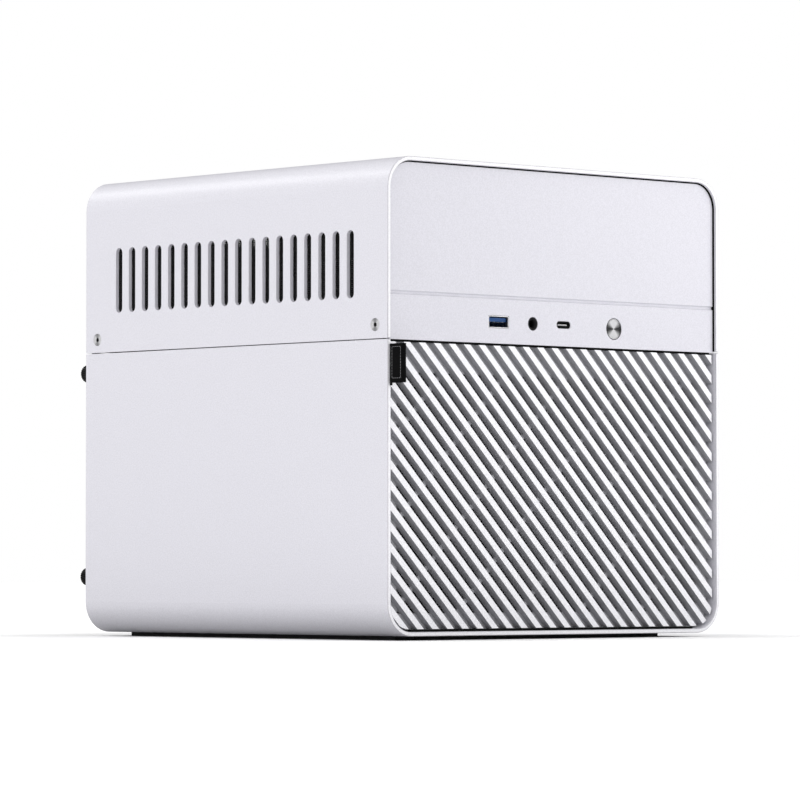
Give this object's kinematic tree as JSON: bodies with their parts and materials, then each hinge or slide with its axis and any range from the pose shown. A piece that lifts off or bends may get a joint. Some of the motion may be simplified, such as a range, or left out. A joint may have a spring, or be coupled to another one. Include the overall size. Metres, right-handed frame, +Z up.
{
  "type": "desktop computer tower",
  "caption": "Compact near-cubic desktop computer case with rounded long edges, slotted cover, slanted-slat front grille, front sockets and power button, on low rubber strips.",
  "frame": {"origin": "on the floor under the middle of the case", "axes": "+Z up, the front with the grille faces -Y, +X is to the right as seen from the front"},
  "size_m": [0.2224, 0.244, 0.2267],
  "materials": {
    "powder_coat": "fine-grained near-white powder coat",
    "foot_rubber": "matt black rubber",
    "zinc_sheet": "zinc-plated sheet steel",
    "black_board": "black solder mask",
    "green_board": "green solder mask",
    "socket_metal": "nickel-plated socket shells",
    "blue_tongue": "blue moulded plastic",
    "black_plastic": "black moulded plastic",
    "fan_blades": "dark grey moulded plastic",
    "supply_case": "black textured paint",
    "drive_alloy": "cast alloy drive housing",
    "fin_alloy": "bare aluminium fins",
    "plated_steel": "plated steel",
    "guard_wire": "bright plated wire",
    "black_screws": "black oxide",
    "dust_mesh": "fine black dust mesh",
    "tab_ribbon": "black woven ribbon",
    "spun_metal": "spun aluminium",
    "memory_board": "black memory board"
  },
  "bodies": {
    "chassis": {"lower_shell": "powder_coat", "foot_strips": "foot_rubber", "base_plate": "zinc_sheet", "front_frame": "zinc_sheet", "drive_cage": "zinc_sheet", "motherboard_tray": "zinc_sheet", "rear_panel": "powder_coat", "front_fascia": "powder_coat", "front_io_board": "black_board", "usb_a_shell": "socket_metal", "usb_a_tongue": "blue_tongue", "usb_c_shell": "socket_metal", "usb_c_tongue": "black_plastic", "audio_jack": "black_plastic", "power_switch": "black_plastic", "grille_clips": "black_plastic", "backplane_board": "green_board", "psu_case": "supply_case", "psu_inlet": "black_plastic", "psu_switch_frame": "black_plastic", "psu_fan_frame": "black_plastic", "motherboard_pcb": "black_board", "board_fasteners": "plated_steel", "cpu_socket": "plated_steel", "cooler_heatsink": "fin_alloy", "cooler_fan_frame": "black_plastic", "ram_module_1": "memory_board", "ram_module_2": "memory_board", "board_connectors": "black_plastic", "io_shield": "zinc_sheet", "rear_io_ports": "socket_metal", "slot_cover": "zinc_sheet"},
    "cover": {"upper_cover": "powder_coat", "side_mesh_left": "dust_mesh", "side_mesh_right": "dust_mesh", "cover_screws": "plated_steel"},
    "grille": {"front_grille": "powder_coat", "grille_mesh": "dust_mesh", "grille_studs": "plated_steel", "grille_pull_tab": "tab_ribbon"},
    "button": {"power_button": "spun_metal", "switch_plunger": "black_plastic"},
    "rear_fan_plate": {"fan_plate": "powder_coat", "rear_fan_frame": "black_plastic", "rear_fan_guard": "guard_wire", "fan_screws": "black_screws"},
    "rear_rotor": {"rear_fan_rotor": "fan_blades"},
    "supply_rotor": {"psu_fan_rotor": "fan_blades"},
    "cooler_rotor": {"cooler_fan_rotor": "fan_blades"},
    "rocker": {"psu_rocker": "black_plastic"},
    "screw_1": {"thumbscrew_1": "black_screws"},
    "screw_2": {"thumbscrew_2": "black_screws"},
    "screw_3": {"thumbscrew_3": "black_screws"},
    "screw_4": {"thumbscrew_4": "black_screws"},
    "disk_1": {"drive_1": "drive_alloy"},
    "disk_2": {"drive_2": "drive_alloy"},
    "disk_3": {"drive_3": "drive_alloy"},
    "disk_4": {"drive_4": "drive_alloy"},
    "disk_5": {"drive_5": "drive_alloy"}
  },
  "joints": [
    {"name": "cover_lift", "type": "slide", "parent": "chassis", "child": "cover", "axis": [0, 0, 1], "range_m": [0, 0.09]},
    {"name": "grille_pull", "type": "slide", "parent": "chassis", "child": "grille", "axis": [0, -1, 0], "range_m": [0, 0.16]},
    {"name": "power_press", "type": "slide", "parent": "chassis", "child": "button", "axis": [0, 1, 0], "range_m": [0, 0.0008], "stiffness_N_per_m": 400},
    {"name": "fan_plate_remove", "type": "slide", "parent": "chassis", "child": "rear_fan_plate", "axis": [0, 1, 0], "range_m": [0, 0.06]},
    {"name": "rear_fan_spin", "type": "hinge", "parent": "rear_fan_plate", "child": "rear_rotor", "pos_m": [-0.03375, 0.1, 0.0804], "axis": [0, 1, 0], "continuous": true},
    {"name": "supply_fan_spin", "type": "hinge", "parent": "chassis", "child": "supply_rotor", "pos_m": [0.05, 0.0546, 0.0737], "axis": [1, 0, 0], "continuous": true},
    {"name": "cooler_fan_spin", "type": "hinge", "parent": "chassis", "child": "cooler_rotor", "pos_m": [0.019, 0.023, 0.192], "axis": [0, 0, 1], "continuous": true},
    {"name": "supply_rocker_tilt", "type": "hinge", "parent": "chassis", "child": "rocker", "pos_m": [0.077, 0.1038, 0.0542], "axis": [1, 0, 0], "range_deg": [-6, 6]},
    {"name": "screw_1_turn", "type": "hinge", "parent": "rear_fan_plate", "child": "screw_1", "pos_m": [-0.102, 0.112, 0.0295], "axis": [0, 1, 0], "continuous": true},
    {"name": "screw_2_turn", "type": "hinge", "parent": "rear_fan_plate", "child": "screw_2", "pos_m": [-0.102, 0.112, 0.1313], "axis": [0, 1, 0], "continuous": true},
    {"name": "screw_3_turn", "type": "hinge", "parent": "rear_fan_plate", "child": "screw_3", "pos_m": [0.033, 0.112, 0.0295], "axis": [0, 1, 0], "continuous": true},
    {"name": "screw_4_turn", "type": "hinge", "parent": "rear_fan_plate", "child": "screw_4", "pos_m": [0.033, 0.112, 0.1313], "axis": [0, 1, 0], "continuous": true},
    {"name": "disk_1_slide", "type": "slide", "parent": "chassis", "child": "disk_1", "axis": [0, -1, 0], "range_m": [0, 0.14]},
    {"name": "disk_2_slide", "type": "slide", "parent": "chassis", "child": "disk_2", "axis": [0, -1, 0], "range_m": [0, 0.14]},
    {"name": "disk_3_slide", "type": "slide", "parent": "chassis", "child": "disk_3", "axis": [0, -1, 0], "range_m": [0, 0.14]},
    {"name": "disk_4_slide", "type": "slide", "parent": "chassis", "child": "disk_4", "axis": [0, -1, 0], "range_m": [0, 0.14]},
    {"name": "disk_5_slide", "type": "slide", "parent": "chassis", "child": "disk_5", "axis": [0, -1, 0], "range_m": [0, 0.14]}
  ],
  "couplings": [
    {"joint": "disk_1_slide", "follows": "grille_pull", "ratio": 0.875},
    {"joint": "disk_2_slide", "follows": "grille_pull", "ratio": 0.875},
    {"joint": "disk_3_slide", "follows": "grille_pull", "ratio": 0.875},
    {"joint": "disk_4_slide", "follows": "grille_pull", "ratio": 0.875},
    {"joint": "disk_5_slide", "follows": "grille_pull", "ratio": 0.875}
  ]
}
